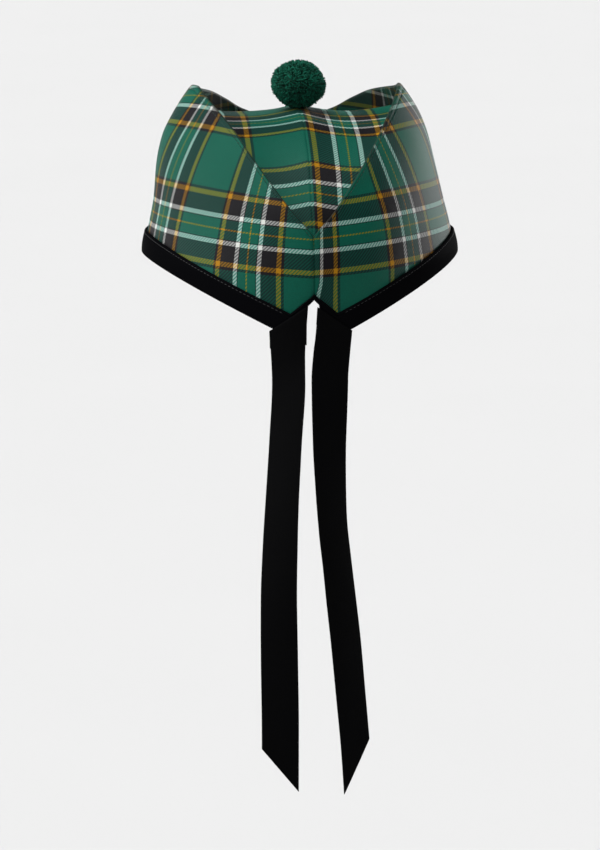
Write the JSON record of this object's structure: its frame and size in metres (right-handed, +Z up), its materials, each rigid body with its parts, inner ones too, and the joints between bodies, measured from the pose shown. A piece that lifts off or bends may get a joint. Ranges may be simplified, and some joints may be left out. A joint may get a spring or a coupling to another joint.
{
  "type": "glengarry",
  "caption": "Open tartan glengarry cap with a ribbon-bound rim, a rear slit, hanging ribbon tails and a pompom on its crown.",
  "frame": {"origin": "middle of the head opening, level with the rim at the sides", "axes": "+Z up, front of the cap towards -Y, rear slit towards +Y, wearer's left towards +X"},
  "size_m": [0.175, 0.2176, 0.3839],
  "materials": {
    "tartan_wool": "twill wool in a green, black, white, yellow and orange tartan",
    "crown_tartan_wool": "twill wool in the same tartan, cut to run along the ridge",
    "black_satin_ribbon": "soft satin ribbon",
    "black_grosgrain_ribbon": "matt ribbon with fine cross ribs",
    "dark_green_yarn": "cut wool yarn"
  },
  "bodies": {
    "root": {"side_panel_left": "tartan_wool", "side_panel_right": "tartan_wool", "crown_left": "crown_tartan_wool", "crown_right": "crown_tartan_wool", "rim_binding": "black_satin_ribbon", "ribbon_tail_left": "black_grosgrain_ribbon", "ribbon_tail_right": "black_grosgrain_ribbon", "pompom": "dark_green_yarn"}
  },
  "joints": []
}
